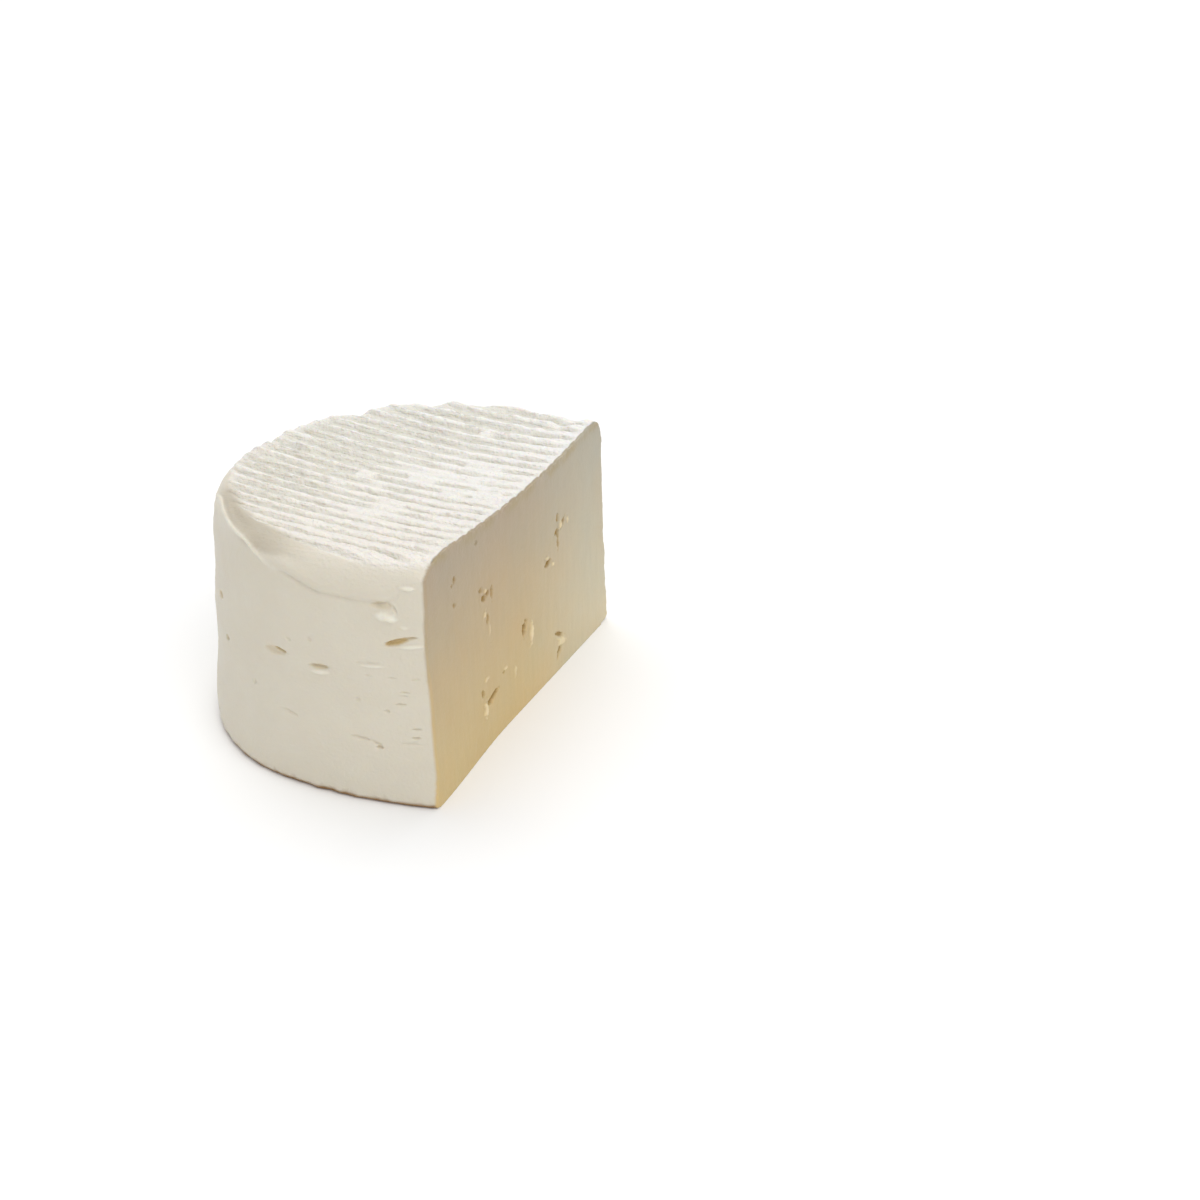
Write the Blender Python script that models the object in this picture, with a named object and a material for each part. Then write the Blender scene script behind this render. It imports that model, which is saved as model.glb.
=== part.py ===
"""Block of fresh goat's cheese: a small moulded wheel with one side sliced away.

The wheel leaves a draining mould with a round shoulder, a dished and ribbed top and a
ribbed base. A straight knife cut, parallel to the wheel's axis, bounds it on +X.
All sizes are in metres. The wheel is modelled round its own axis, with the base at z = 0,
and is moved at the end so that the origin lies under the middle of its bounding box.
"""
import math

import bmesh
import bpy
import numpy as np
from mathutils import Matrix, Vector, noise

# The moulded wheel.
WHEEL_RADIUS = 0.055
WHEEL_HEIGHT = 0.0580
TAPER = 0.0025                # radius lost from the base to the top
TAPER_LEFT = 0.0015           # how much more is lost at the left
TAPER_EASED = 0.0016          # how much less is lost by the near end of the cut
BASE_ROUND = 0.0012
FOOT_SPREAD = 0.0012          # how far the foot spreads by the near end of the cut
FOOT_TUCK = 0.0012            # how far it is tucked in beside that
FOOT_HEIGHT = 0.0090
SIDE_LUMP = 0.0005            # slow swells left in the side by the mould's cloth
LUMPS_ROUND = 1.6             # how often they come round the wheel
LUMPS_UP = 38.0               # and up its side, per metre
WHEEL_SEGMENTS = 96
SIDE_RINGS = 5
BASE_ARC_STEPS = 3

# The knife cut.
CUT_OFFSET = 0.0224           # distance of the cut from the wheel's axis

# Places round the wheel, in degrees from +X towards +Y, and how far each one spreads.
NEAR_END = (294.0, 18.0)
NEAR_FOOT = (294.0, 9.0)
SLUMPED = (236.0, 30.0)
LEFT = (205.0, 45.0)
TUCKED = (264.0, 16.0)

# The shoulder by turn round the wheel: how far it drops down the side, how far it reaches
# in across the top, and the power of its curve, where 2 is round and 1 a straight slope.
SHOULDER_PLACES = (
    (66.0, 0.0086, 0.0058, 2.0),
    (100.0, 0.0068, 0.0070, 2.0),
    (207.0, 0.0060, 0.0072, 2.0),
    (222.0, 0.0024, 0.0060, 2.0),
    (243.0, 0.0018, 0.0060, 2.0),
    (256.0, 0.0050, 0.0066, 1.9),
    (272.0, 0.0082, 0.0075, 1.8),
    (284.0, 0.0082, 0.0075, 1.7),
    (294.0, 0.0045, 0.0073, 1.4),
)
SHOULDER_SHARES = (0.0, 0.07, 0.15, 0.24, 0.35, 0.47, 0.60, 0.74, 0.88, 1.0)
SHOULDER_STEPS = 60           # fine steps from which those shares of its length are found
SHOULDER_HIGH = 0.67          # share of it above which the top's shape takes over

# The lip that the mould's rim pressed along the shoulder's foot, raised and with a valley
# inside it to the left, and a crease below a bulge to the right.
LIP_WIDTH = 0.0008
LIP_CREST_HEIGHT = 0.0006
LIP_VALLEY_OFF = 0.0034
LIP_VALLEY_WIDTH = 0.0020
LIP_VALLEY_DEPTH = 0.0011
LIP_CREASE_DEPTH = 0.0006
LIP_BULGE_OFF = 0.0022
LIP_BULGE_WIDTH = 0.0014
LIP_BULGE_HEIGHT = 0.0003
LIP_CREST_SPAN = (212.0, 224.0, 254.0, 268.0)
LIP_CREASE_SPAN = (260.0, 268.0, 284.0, 291.0)

# Dents in the rim: place round the wheel and spread, then depth.
RIM_DENTS = (
    ((117.0, 4.0), 0.0013),
    ((146.0, 4.0), 0.0013),
    ((171.0, 4.0), 0.0007),
    ((76.0, 4.0), 0.0014),
)
DENT_SPAN = (0.70, 0.95)      # shares of the radius where a dent begins and is full

# The dished top.
DISH_DEPTH = 0.0048
DISH_RIM = 0.00115            # how far above the wheel's height the dish would end
DISH_RISE_X = 0.016           # slope of the dish up towards the cut
DISH_RISE_Y = -0.009          # slope of the dish down towards the back

# The grooves that the draining mat printed in the top. Groove 0 passes by the middle,
# higher numbers lie nearer the front, and they fan out and bow a little on the way.
GROOVE_START = 0.0015
GROOVE_SLOPE = -0.122
GROOVE_PITCH = 0.00416
GROOVE_SPREAD = 0.0000023     # metres for each cubed step from the middle
GROOVE_FAN = 0.00043          # slope for each squared step from the middle
GROOVE_SKEW = 0.0021          # slope for each step from the middle
GROOVE_BOW = 0.36             # bend along a groove, per metre
GROOVE_BOW_STEP = 0.083       # more bend for each step towards the front, per metre
GROOVE_WOBBLE = 0.0004
WOBBLES_ALONG = 70.0          # how often a groove wobbles, per metre
NOISE_LANE = 3.7              # distance in the noise between one groove and the next
GROOVE_DEPTH = 0.0010
GROOVE_COUNT = 13             # grooves to each side of the middle one
GROOVE_WIDE = 0.40            # half a groove's width as a share of the pitch, at the left
GROOVE_NARROW = 0.26          # the same where the ribs are flattened, near the cut
NARROWING = (-0.5, 0.3)       # shares of the radius over which one becomes the other
GROOVE_FLOOR = 0.5            # share of that width that is the groove's floor
TOP_STEP = 0.0037             # grid step along the grooves
TOP_LEFT = -0.058
TOP_RIGHT = 0.026

# Where the grooves run out at the front rim, and where they are smeared.
SMOOTH_RIM = 0.88             # share of the radius
SMOOTH_RIM_BITE = 0.05        # how much less at the slumped shoulder
SMOOTH_RIM_FADE = 0.03
SMOOTH_RIM_FRONT = (0.1, 0.4)
WORN_LEAST = 0.12             # share of the depth left in a worn groove
WORN_ZONE = ((0.007, -0.002), 0.028)
WORN_ZONE_LOSS = 0.75         # share of the depth lost where a groove is broken there
BREAKS_ALONG = 95.0           # how often a groove breaks, per metre
BREAK_SPAN = (-0.30, 0.25)
WORN_PATCHES = (
    ((-0.0070, -0.0210), 0.0048),
    ((-0.0020, 0.0080), 0.0036),
    ((0.0085, 0.0135), 0.0038),
    ((0.0065, -0.0020), 0.0046),
    ((0.0160, -0.0060), 0.0034),
    ((-0.0185, 0.0000), 0.0028),
    ((-0.0020, 0.0320), 0.0024),
    ((0.0120, 0.0230), 0.0026),
    ((-0.0220, -0.0070), 0.0022),
)
PATCH_STRETCH = 1.5           # how much longer a patch is along the grooves

# Ribs under the base, shallow because the cheese rests on them.
BASE_GROOVE_DEPTH = 0.0004
BASE_GROOVE_WIDTH = 0.0016    # at the base's surface
BASE_GROOVE_TURN = math.radians(-7.0)
BASE_GROOVE_INSET = 0.0045    # distance from a groove's end to the wheel's side

# Openings: place, then width, height and depth, then tilt in degrees, up to the right.
SIDE_OPENINGS = (             # degrees round the wheel, height above the base
    (284.4, 0.0491, 0.0044, 0.0015, 0.0014, -6.0),
    (286.4, 0.0399, 0.0030, 0.0012, 0.0018, 32.0),
    (290.8, 0.0412, 0.0064, 0.0012, 0.0018, -2.0),
    (253.9, 0.0326, 0.0066, 0.0020, 0.0014, -5.0),
    (268.1, 0.0322, 0.0062, 0.0012, 0.0014, 0.0),
    (258.4, 0.0186, 0.0052, 0.0011, 0.0007, -18.0),
    (278.5, 0.0157, 0.0072, 0.0012, 0.0008, -11.0),
    (227.1, 0.0367, 0.0036, 0.0018, 0.0012, 0.0),
    (231.6, 0.0277, 0.0030, 0.0016, 0.0010, 8.0),
    (210.0, 0.0220, 0.0062, 0.0018, 0.0014, -6.0),
    (186.0, 0.0380, 0.0066, 0.0018, 0.0016, 5.0),
    (158.0, 0.0190, 0.0056, 0.0014, 0.0014, -4.0),
    (131.0, 0.0345, 0.0062, 0.0016, 0.0014, 8.0),
    (102.0, 0.0250, 0.0050, 0.0013, 0.0012, -8.0),
    (84.0, 0.0405, 0.0058, 0.0015, 0.0014, 3.0),
)
CUT_OPENINGS = (              # distance along the cut, height above the base
    (0.0198, 0.0415, 0.0024, 0.0011, 0.0012, 62.0),
    (0.0223, 0.0389, 0.0026, 0.0012, 0.0012, 53.0),
    (0.0201, 0.0377, 0.0022, 0.0011, 0.0012, 25.0),
    (0.0203, 0.0348, 0.0042, 0.0008, 0.0008, 88.0),
    (0.0147, 0.0317, 0.0016, 0.0010, 0.0010, 45.0),
    (-0.0210, 0.0388, 0.0022, 0.0011, 0.0010, 60.0),
    (-0.0175, 0.0380, 0.0040, 0.0011, 0.0010, 76.0),
    (-0.0187, 0.0321, 0.0026, 0.0009, 0.0008, 80.0),
    (0.0003, 0.0226, 0.0030, 0.0010, 0.0012, 62.0),
    (0.0200, 0.0056, 0.0024, 0.0011, 0.0010, 45.0),
    (-0.0170, 0.0114, 0.0044, 0.0011, 0.0010, 17.0),
    (-0.0360, 0.0474, 0.0014, 0.0011, 0.0007, 0.0),
    (-0.0359, 0.0435, 0.0012, 0.0010, 0.0007, 0.0),
)
OPENING_DETAIL = 2
OPENING_ROUGHNESS = 0.28
OPENING_GRAIN = 0.9

# Surface of the fresh paste.
PASTE_COLOUR = (0.78, 0.74, 0.62, 1.0)
PASTE_ROUGHNESS = 0.55


def clear_scene():
    """Remove whatever the file already holds."""
    for thing in list(bpy.data.objects):
        bpy.data.objects.remove(thing, do_unlink=True)


def smooth_step(low, high, value):
    """Rise from 0 to 1 between low and high, level at both ends."""
    share = min(max((value - low) / (high - low), 0.0), 1.0)
    return share * share * (3.0 - 2.0 * share)


def span_weight(span, turn):
    """Weight of a feature that fades in and out at the ends of its span of turns."""
    return smooth_step(span[0], span[1], turn) * (1.0 - smooth_step(span[2], span[3], turn))


def turn_of(x, y):
    """Degrees round the wheel, from +X towards +Y."""
    return math.degrees(math.atan2(y, x)) % 360.0


def bump(away, width):
    """Smooth bump of height 1 that falls away over a width."""
    return math.exp(-((away / width) ** 2))


def nearness(turn, place):
    """Bump round a place on the wheel, given as its turn and its spread."""
    middle, spread = place
    return bump((turn - middle + 180.0) % 360.0 - 180.0, spread)


def shoulder_place(turn):
    """The shoulder's drop, reach and power at a turn, eased between its places."""
    first = SHOULDER_PLACES[0]
    places = SHOULDER_PLACES + ((first[0] + 360.0,) + first[1:],)
    at = turn if turn >= first[0] else turn + 360.0
    for before, after in zip(places, places[1:]):
        if at <= after[0]:
            share = smooth_step(before[0], after[0], at)
            return [one + (two - one) * share for one, two in zip(before[1:], after[1:])]
    return first[1:]


def side_radius(height, turn):
    """The wheel's radius at a height on its side."""
    taper = TAPER + TAPER_LEFT * nearness(turn, LEFT) - TAPER_EASED * nearness(turn, NEAR_END)
    spread = FOOT_SPREAD * nearness(turn, NEAR_FOOT) - FOOT_TUCK * nearness(turn, TUCKED)
    low = 1.0 - smooth_step(0.0, FOOT_HEIGHT, height)
    return WHEEL_RADIUS - taper * height / WHEEL_HEIGHT + spread * low


def rim_dent(turn):
    """Depth of the rim's dents at a turn."""
    return sum(depth * nearness(turn, place) for place, depth in RIM_DENTS)


def lip_relief(turn, along):
    """Height of the lip's crest, valley and crease, by distance up from the foot."""
    line = bump(along, LIP_WIDTH)
    raised = LIP_CREST_HEIGHT * line
    raised -= LIP_VALLEY_DEPTH * bump(along - LIP_VALLEY_OFF, LIP_VALLEY_WIDTH)
    creased = LIP_BULGE_HEIGHT * bump(along - LIP_BULGE_OFF, LIP_BULGE_WIDTH)
    creased -= LIP_CREASE_DEPTH * line
    relief = raised * span_weight(LIP_CREST_SPAN, turn)
    return relief + creased * span_weight(LIP_CREASE_SPAN, turn)


def side_lump(direction, height):
    """Slow swell of the wheel's side."""
    spot = direction * LUMPS_ROUND + Vector((0.0, 0.0, height * LUMPS_UP))
    return SIDE_LUMP * noise.noise(spot)


def shoulder_curve(turn, lump):
    """Half outline of the shoulder at a turn, from its foot to its top."""
    drop, reach, power = shoulder_place(turn)
    foot = WHEEL_HEIGHT - drop
    centre = side_radius(foot, turn) - reach
    slopes = np.linspace(0.0, math.pi / 2.0, SHOULDER_STEPS + 1)
    across = centre + reach * np.abs(np.cos(slopes)) ** (2.0 / power)
    height = foot + drop * np.abs(np.sin(slopes)) ** (2.0 / power)
    steps = np.hypot(np.diff(across), np.diff(height))
    lengths = np.concatenate(([0.0], np.cumsum(steps)))
    inward = -np.gradient(across, lengths)
    upward = np.gradient(height, lengths)
    points = []
    for share in SHOULDER_SHARES:
        along = share * lengths[-1]
        high = smooth_step(0.0, SHOULDER_HIGH, share)
        off = lip_relief(turn, along) + lump * (1.0 - high) - rim_dent(turn) * high
        outer = np.interp(along, lengths, across) + off * np.interp(along, lengths, upward)
        upper = np.interp(along, lengths, height) + off * np.interp(along, lengths, inward)
        points.append((float(outer), float(upper)))
    return points


def moulded_outline(turn):
    """Half outline of the wheel at a turn: from the base's rim up to the shoulder's top."""
    direction = Vector((math.cos(math.radians(turn)), math.sin(math.radians(turn)), 0.0))
    base_radius = side_radius(BASE_ROUND, turn) - BASE_ROUND
    points = []
    for step in range(BASE_ARC_STEPS + 1):
        angle = math.radians(-90.0 + 90.0 * step / BASE_ARC_STEPS)
        across = base_radius + BASE_ROUND * math.cos(angle)
        points.append((across, BASE_ROUND + BASE_ROUND * math.sin(angle)))
    foot = WHEEL_HEIGHT - shoulder_place(turn)[0]
    for step in range(1, SIDE_RINGS + 1):
        height = BASE_ROUND + (foot - BASE_ROUND) * step / (SIDE_RINGS + 1)
        points.append((side_radius(height, turn) + side_lump(direction, height), height))
    return points + shoulder_curve(turn, side_lump(direction, foot))


def new_object(name, shape):
    """Make an object from a bmesh and free the bmesh."""
    mesh = bpy.data.meshes.new(name)
    shape.to_mesh(mesh)
    shape.free()
    thing = bpy.data.objects.new(name, mesh)
    bpy.context.scene.collection.objects.link(thing)
    return thing


def hide_cutter(thing):
    """Show a cutter as wire only and leave it out of renders."""
    thing.hide_render = True
    thing.display_type = "WIRE"


def make_wheel(name):
    """Bridge the wheel's rings from base to shoulder, close it, and slice it at the cut."""
    turns = [360.0 * step / WHEEL_SEGMENTS for step in range(WHEEL_SEGMENTS)]
    outlines = [moulded_outline(turn) for turn in turns]
    shape = bmesh.new()
    rings = []
    for level in range(len(outlines[0])):
        made = bmesh.ops.create_circle(shape, segments=WHEEL_SEGMENTS, radius=WHEEL_RADIUS)
        for vert in made["verts"]:
            step = round(turn_of(vert.co.x, vert.co.y) * WHEEL_SEGMENTS / 360.0)
            turn = turns[step % WHEEL_SEGMENTS]
            across, height = outlines[step % WHEEL_SEGMENTS][level]
            outward = math.radians(turn)
            vert.co = (across * math.cos(outward), across * math.sin(outward), height)
        rings.append([edge for edge in shape.edges if edge.verts[0] in made["verts"]])
    for lower, upper in zip(rings, rings[1:]):
        bmesh.ops.bridge_loops(shape, edges=lower + upper)
    bmesh.ops.contextual_create(shape, geom=rings[0])
    bmesh.ops.contextual_create(shape, geom=rings[-1])
    everything = shape.verts[:] + shape.edges[:] + shape.faces[:]
    cut = bmesh.ops.bisect_plane(
        shape,
        geom=everything,
        plane_co=(CUT_OFFSET, 0.0, 0.0),
        plane_no=(1.0, 0.0, 0.0),
        clear_outer=True,
    )
    rim = [item for item in cut["geom_cut"] if isinstance(item, bmesh.types.BMEdge)]
    bmesh.ops.contextual_create(shape, geom=rim)
    bmesh.ops.recalc_face_normals(shape, faces=shape.faces)
    return new_object(name, shape)


def groove_line(x, number):
    """Where a groove, counted from the middle one towards the front, lies at x."""
    slope = GROOVE_SLOPE - GROOVE_SKEW * number - GROOVE_FAN * number * number
    bow = GROOVE_BOW + GROOVE_BOW_STEP * number
    start = GROOVE_START - GROOVE_PITCH * number - GROOVE_SPREAD * number ** 3
    return start + slope * x - bow * x * x


def groove_share(x, y, number):
    """Share of its full depth that a groove has at a place on the top."""
    keep = 1.0
    for (patch_x, patch_y), size in WORN_PATCHES:
        away = math.hypot((x - patch_x) / PATCH_STRETCH, y - patch_y)
        keep = min(keep, smooth_step(0.5 * size, size, away))
    (zone_x, zone_y), reach = WORN_ZONE
    inside = 1.0 - smooth_step(0.5 * reach, reach, math.hypot(x - zone_x, y - zone_y))
    spot = Vector((x * BREAKS_ALONG, number * NOISE_LANE, 0.0))
    whole = smooth_step(*BREAK_SPAN, noise.noise(spot))
    keep *= 1.0 - WORN_ZONE_LOSS * inside * (1.0 - whole)
    edge = SMOOTH_RIM - SMOOTH_RIM_BITE * nearness(turn_of(x, y), SLUMPED)
    radius = math.hypot(x, y) / WHEEL_RADIUS
    at_rim = smooth_step(edge - SMOOTH_RIM_FADE, edge + SMOOTH_RIM_FADE, radius)
    keep *= 1.0 - at_rim * smooth_step(*SMOOTH_RIM_FRONT, -y / WHEEL_RADIUS)
    return WORN_LEAST + (1.0 - WORN_LEAST) * keep


def dish_height(x, y):
    """Height of the dished top before its grooves."""
    radius = math.hypot(x, y) / WHEEL_RADIUS
    height = WHEEL_HEIGHT + DISH_RIM - DISH_DEPTH * (1.0 - radius * radius)
    height += DISH_RISE_X * x + DISH_RISE_Y * y
    return height - rim_dent(turn_of(x, y)) * smooth_step(*DENT_SPAN, radius)


def groove_half(x, y):
    """Half a groove's width, as a share of the pitch."""
    near_cut = smooth_step(*NARROWING, (x - y / 2.0) / WHEEL_RADIUS)
    return GROOVE_WIDE + (GROOVE_NARROW - GROOVE_WIDE) * near_cut


def make_ribbed_top(name):
    """Block whose upper face is the dished, ribbed top, deeper than the wheel is high."""
    rows_across = (-1.0, -GROOVE_FLOOR, GROOVE_FLOOR, 1.0, None)
    rows = 2 * GROOVE_COUNT * len(rows_across)
    steps = round((TOP_RIGHT - TOP_LEFT) / TOP_STEP)
    shape = bmesh.new()
    bmesh.ops.create_grid(shape, x_segments=steps, y_segments=rows, size=1.0)
    for vert in shape.verts:
        row = round((1.0 - vert.co.y) * rows / 2.0)
        count, part = divmod(row, len(rows_across))
        number = count - GROOVE_COUNT
        off = rows_across[part]
        x = TOP_LEFT + (TOP_RIGHT - TOP_LEFT) * (vert.co.x + 1.0) / 2.0
        if off is None:
            place = number + 0.5
        else:
            place = number + off * groove_half(x, groove_line(x, number))
        spot = Vector((x * WOBBLES_ALONG, number * NOISE_LANE, 5.0))
        y = groove_line(x, place) + GROOVE_WOBBLE * noise.noise(spot)
        z = dish_height(x, y)
        if off in (GROOVE_FLOOR, -GROOVE_FLOOR):
            z -= GROOVE_DEPTH * groove_share(x, y, number)
        vert.co = (x, y, z)
    sunk = bmesh.ops.extrude_face_region(shape, geom=shape.faces[:])
    for item in sunk["geom"]:
        if isinstance(item, bmesh.types.BMVert):
            item.co.z = -WHEEL_HEIGHT
    bmesh.ops.recalc_face_normals(shape, faces=shape.faces)
    block = new_object(name, shape)
    hide_cutter(block)
    return block


def make_opening(name, size, seed):
    """Closed, uneven blob that presses one opening into the paste."""
    shape = bmesh.new()
    bmesh.ops.create_icosphere(shape, subdivisions=OPENING_DETAIL, radius=1.0)
    for vert in shape.verts:
        spot = vert.co * OPENING_GRAIN + Vector((seed * NOISE_LANE, 0.0, 0.0))
        vert.co *= 1.0 + OPENING_ROUGHNESS * noise.noise(spot)
        vert.co = Vector([half * value for half, value in zip(size, vert.co)])
    return new_object(name, shape)


def make_openings(collection):
    """Press the side's and the cut's openings, each a blob centred on the surface."""
    rows = [("side", row) for row in SIDE_OPENINGS] + [("cut", row) for row in CUT_OPENINGS]
    for number, (where, row) in enumerate(rows):
        place, height, width, tall, deep, tilt = row
        blob = make_opening(f"opening_{number}", (deep, width / 2.0, tall / 2.0), number)
        if where == "side":
            facing = math.radians(place)
            radius = side_radius(height, place)
            spot = Vector((radius * math.cos(facing), radius * math.sin(facing), height))
        else:
            facing = 0.0
            spot = Vector((CUT_OFFSET, place, height))
        turned = Matrix.Rotation(facing, 4, "Z") @ Matrix.Rotation(math.radians(tilt), 4, "X")
        blob.data.transform(Matrix.Translation(spot) @ turned)
        hide_cutter(blob)
        collection.objects.link(blob)


def make_base_grooves(name):
    """Row of low three-sided bars that cut the ribs under the base."""
    shape = bmesh.new()
    reach = WHEEL_RADIUS - BASE_GROOVE_INSET
    count = math.floor(reach / GROOVE_PITCH) - 1
    turned = Matrix.Rotation(BASE_GROOVE_TURN, 4, "Z")
    foot = -BASE_GROOVE_DEPTH
    for number in range(-count, count + 1):
        off = number * GROOVE_PITCH
        end = -math.sqrt(reach * reach - off * off)
        outline = (
            (off - BASE_GROOVE_WIDTH, foot),
            (off + BASE_GROOVE_WIDTH, foot),
            (off, BASE_GROOVE_DEPTH),
        )
        verts = [shape.verts.new((end, across, height)) for across, height in outline]
        face = shape.faces.new(verts)
        drawn = bmesh.ops.extrude_face_region(shape, geom=[face])
        moved = [item for item in drawn["geom"] if isinstance(item, bmesh.types.BMVert)]
        bmesh.ops.translate(shape, verts=moved, vec=(WHEEL_RADIUS - end, 0.0, 0.0))
    bmesh.ops.transform(shape, matrix=turned, verts=shape.verts[:])
    bmesh.ops.recalc_face_normals(shape, faces=shape.faces)
    bars = new_object(name, shape)
    hide_cutter(bars)
    return bars


def apply_boolean(thing, operation, cutter=None, collection=None):
    """Join or cut a thing with one object or with a collection of them, and apply it."""
    modifier = thing.modifiers.new(operation.title(), "BOOLEAN")
    modifier.operation = operation
    modifier.solver = "EXACT"
    if collection is None:
        modifier.object = cutter
    else:
        modifier.operand_type = "COLLECTION"
        modifier.collection = collection
    bpy.context.view_layer.objects.active = thing
    bpy.ops.object.modifier_apply(modifier=modifier.name)


def centre_on_base(thing):
    """Move the mesh so that the origin lies under the middle of its bounding box."""
    low = Vector([min(vert.co[axis] for vert in thing.data.vertices) for axis in range(3)])
    high = Vector([max(vert.co[axis] for vert in thing.data.vertices) for axis in range(3)])
    middle = (low + high) / 2.0
    thing.data.transform(Matrix.Translation((-middle.x, -middle.y, -low.z)))


def paste_material():
    """Fresh goat's cheese: off-white, moist and half matt."""
    material = bpy.data.materials.new("fresh_paste")
    material.use_nodes = True
    shader = material.node_tree.nodes["Principled BSDF"]
    shader.inputs["Base Color"].default_value = PASTE_COLOUR
    shader.inputs["Roughness"].default_value = PASTE_ROUGHNESS
    shader.inputs["Metallic"].default_value = 0.0
    return material


def make_cheese():
    """The cut wheel as one solid."""
    cheese = make_wheel("cheese_wheel")
    top = make_ribbed_top("ribbed_top")
    apply_boolean(cheese, "INTERSECT", cutter=top)
    bpy.data.objects.remove(top, do_unlink=True)
    cutters = bpy.data.collections.new("openings")
    bpy.context.scene.collection.children.link(cutters)
    make_openings(cutters)
    cutters.objects.link(make_base_grooves("base_grooves"))
    apply_boolean(cheese, "DIFFERENCE", collection=cutters)
    for cutter in list(cutters.objects):
        bpy.data.objects.remove(cutter, do_unlink=True)
    bpy.data.collections.remove(cutters)
    centre_on_base(cheese)
    cheese.data.materials.append(paste_material())
    cheese.data.shade_smooth()
    cheese.data.set_sharp_from_angle(angle=math.radians(30.0))
    return cheese


clear_scene()
make_cheese()
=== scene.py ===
import math

import bpy
import numpy as np
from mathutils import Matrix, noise


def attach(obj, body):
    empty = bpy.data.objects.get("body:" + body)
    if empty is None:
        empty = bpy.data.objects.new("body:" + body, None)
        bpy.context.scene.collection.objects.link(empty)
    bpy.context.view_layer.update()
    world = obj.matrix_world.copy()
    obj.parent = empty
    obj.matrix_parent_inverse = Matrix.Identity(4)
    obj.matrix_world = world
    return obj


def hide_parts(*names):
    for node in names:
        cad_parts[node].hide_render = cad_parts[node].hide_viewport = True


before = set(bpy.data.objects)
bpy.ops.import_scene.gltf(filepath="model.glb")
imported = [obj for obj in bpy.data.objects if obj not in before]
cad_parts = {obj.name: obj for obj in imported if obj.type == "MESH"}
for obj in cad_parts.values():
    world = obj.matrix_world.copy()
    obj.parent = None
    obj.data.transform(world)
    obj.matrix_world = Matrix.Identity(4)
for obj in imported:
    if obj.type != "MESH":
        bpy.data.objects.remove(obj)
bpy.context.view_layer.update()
print("frame loaded")


def hexToLinear(text):  # sRGB hex to the linear colour that shaders take
    channels = [int(text[place:place + 2], 16) / 255 for place in (1, 3, 5)]
    return tuple([c / 12.92 if c < 0.04045 else ((c + 0.055) / 1.055) ** 2.4
                  for c in channels] + [1.0])


def fillSockets(tree, node, sockets):  # with links, sRGB hex colours or plain values
    for name, value in sockets.items():
        if isinstance(value, bpy.types.NodeSocket):
            tree.links.new(value, node.inputs[name])
        elif isinstance(value, str):
            node.inputs[name].default_value = hexToLinear(value)
        else:
            node.inputs[name].default_value = value


def addNode(tree, kind, settings, sockets):  # adds one node and gives its outputs
    node = tree.nodes.new(kind)
    for name, value in settings.items():
        setattr(node, name, value)
    fillSockets(tree, node, sockets)
    return node.outputs


def smoothStep(low, high, value):
    share = np.clip((value - low) / (high - low), 0.0, 1.0)
    return share * share * (3.0 - 2.0 * share)


def bump(away, width):
    return np.exp(-(away / width) ** 2)


def nearTurn(turn, place):  # 1 at a turn round the wheel, falling away over its spread
    return bump((turn - place[0] + 180.0) % 360.0 - 180.0, place[1])


def overTurns(turn, span):  # fades in over the first two turns and out over the last two
    return smoothStep(span[0], span[1], turn) * (1.0 - smoothStep(span[2], span[3], turn))


def grain(x, y, z, perMetre, shift=0.0):  # smooth noise from about -1 to 1
    spots = np.stack([x * perMetre + shift, y * perMetre, z * perMetre], axis=1).tolist()
    return np.array([noise.noise(spot) for spot in spots])


def readPoints(thing):
    flat = np.empty(len(thing.data.vertices) * 3, np.float32)
    thing.data.vertices.foreach_get("co", flat)
    return flat.reshape(-1, 3).astype(float).T


def writePoints(thing, x, y, z):
    thing.data.vertices.foreach_set("co", np.stack([x, y, z], axis=1).astype(np.float32).ravel())
    thing.data.update()


def readNormals(thing):
    flat = np.empty(len(thing.data.vertices) * 3, np.float32)
    thing.data.vertices.foreach_get("normal", flat)
    return flat.reshape(-1, 3).astype(float).T


def selectOnly(thing):
    bpy.ops.object.select_all(action="DESELECT")
    thing.select_set(True)
    bpy.context.view_layer.objects.active = thing


def editEdges(thing, test):  # enters edit mode with the edges that pass the test selected
    selectOnly(thing)
    bpy.ops.object.mode_set(mode="EDIT")
    bpy.ops.mesh.select_mode(type="EDGE")
    bpy.ops.mesh.select_all(action="DESELECT")
    bpy.ops.object.mode_set(mode="OBJECT")
    places = [vertex.co for vertex in thing.data.vertices]
    for edge in thing.data.edges:
        edge.select = test(places[edge.vertices[0]], places[edge.vertices[1]])
    bpy.ops.object.mode_set(mode="EDIT")


def addModifier(thing, kind, settings):  # adds it and applies it at once
    selectOnly(thing)
    modifier = thing.modifiers.new(kind.title(), kind)
    for name, value in settings.items():
        setattr(modifier, name, value)
    bpy.ops.object.modifier_apply(modifier=modifier.name)


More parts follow.
